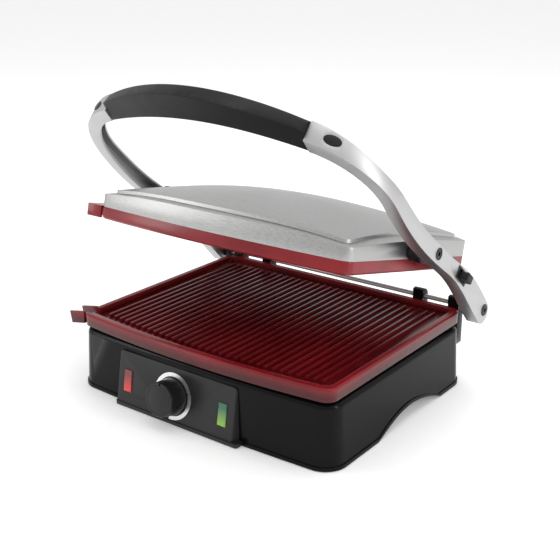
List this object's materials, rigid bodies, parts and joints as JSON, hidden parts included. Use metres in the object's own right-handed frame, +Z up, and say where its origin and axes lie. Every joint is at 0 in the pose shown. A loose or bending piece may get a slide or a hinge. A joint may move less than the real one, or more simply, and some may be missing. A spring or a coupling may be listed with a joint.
{
  "type": "panini press",
  "caption": "Contact grill: black base with dial and lamps, two ribbed red plates, steel lid floating on two arms joined by a grip, swings right back.",
  "frame": {"origin": "on the table under the middle of the base and the lower plate's width", "axes": "+X to the user's right, +Y to the back, +Z up; the control panel faces -Y"},
  "size_m": [0.3645, 0.2945, 0.3258],
  "materials": {
    "gloss_black": "gloss moulded",
    "satin_black": "satin moulded",
    "panel_grey": "fine satin texture",
    "grip_black": "satin moulded",
    "knob_black": "satin moulded",
    "red_enamel": "glossy fired enamel on cast aluminium",
    "brushed_lid": "brushed",
    "arm_metal": "satin",
    "steel": "plain",
    "screw_dark": "blackened",
    "silver_ring": "satin",
    "sheet": "aluminised sheet",
    "heater": "oxidised sheath",
    "rubber": "matte",
    "lamp_white": "matte",
    "red_lens": "clear red",
    "green_lens": "clear green"
  },
  "bodies": {
    "base": {"base_housing": "gloss_black", "base_bottom_cover": "satin_black", "rubber_feet": "rubber", "bottom_cover_screws": "steel", "control_panel": "panel_grey", "dial_scale_ring": "silver_ring", "power_lamp_lens": "red_lens", "ready_lamp_lens": "green_lens", "neon_lamps": "lamp_white", "thermostat_body": "steel", "lower_grill_plate": "red_enamel", "plate_spacers": "steel", "lower_plate_screws": "steel", "lower_heat_reflector": "sheet", "lower_heating_element": "heater", "terminal_block": "lamp_white", "lower_thermal_fuse": "lamp_white", "cord_gland": "satin_black"},
    "knuckle": {"hinge_shaft": "steel", "lock_discs": "satin_black", "hinge_end_screws": "screw_dark"},
    "handle": {"left_arm": "arm_metal", "right_arm": "arm_metal", "slider_bezel": "satin_black", "oval_plugs": "satin_black", "lid_pivot_screws": "screw_dark", "grip_upper_shell": "grip_black", "grip_lower_shell": "grip_black", "grip_core_bar": "steel", "grip_screws": "screw_dark"},
    "slider": {"release_slider": "satin_black", "latch_rod": "steel"},
    "lid": {"lid_rockers": "satin_black", "lid_cover": "brushed_lid", "upper_grill_plate": "red_enamel", "upper_heat_reflector": "sheet", "lid_frame": "satin_black", "lid_pivot_brackets": "steel", "upper_heating_element": "heater", "upper_plate_screws": "steel", "upper_thermal_fuse": "lamp_white"},
    "knob": {"temperature_knob": "knob_black", "knob_face_cap": "knob_black", "thermostat_spindle": "steel"}
  },
  "joints": [
    {"name": "opening_swing", "type": "hinge", "parent": "base", "child": "knuckle", "pos_m": [0, 0.1255, 0.0826], "axis": [-1, 0, 0], "range_deg": [0, 148.7]},
    {"name": "press_stroke", "type": "hinge", "parent": "knuckle", "child": "handle", "pos_m": [0, 0.1255, 0.0826], "axis": [-1, 0, 0], "range_deg": [-31.3, 0]},
    {"name": "release_slide", "type": "slide", "parent": "handle", "child": "slider", "axis": [0, -0.7683, 0.6401], "range_m": [0, 0.006], "stiffness_N_per_m": 300, "springref_m": -0.003},
    {"name": "lid_tilt", "type": "hinge", "parent": "handle", "child": "lid", "pos_m": [0, 0.01886, 0.17145], "axis": [-1, 0, 0], "range_deg": [0, 17.82]},
    {"name": "temperature_turn", "type": "hinge", "parent": "base", "child": "knob", "pos_m": [-0.0205, -0.1332, 0.02813], "axis": [0, -0.9851, 0.1719], "range_deg": [0, 270]}
  ],
  "couplings": [
    {"joint": "lid_tilt", "follows": "press_stroke", "ratio": -0.56869}
  ]
}
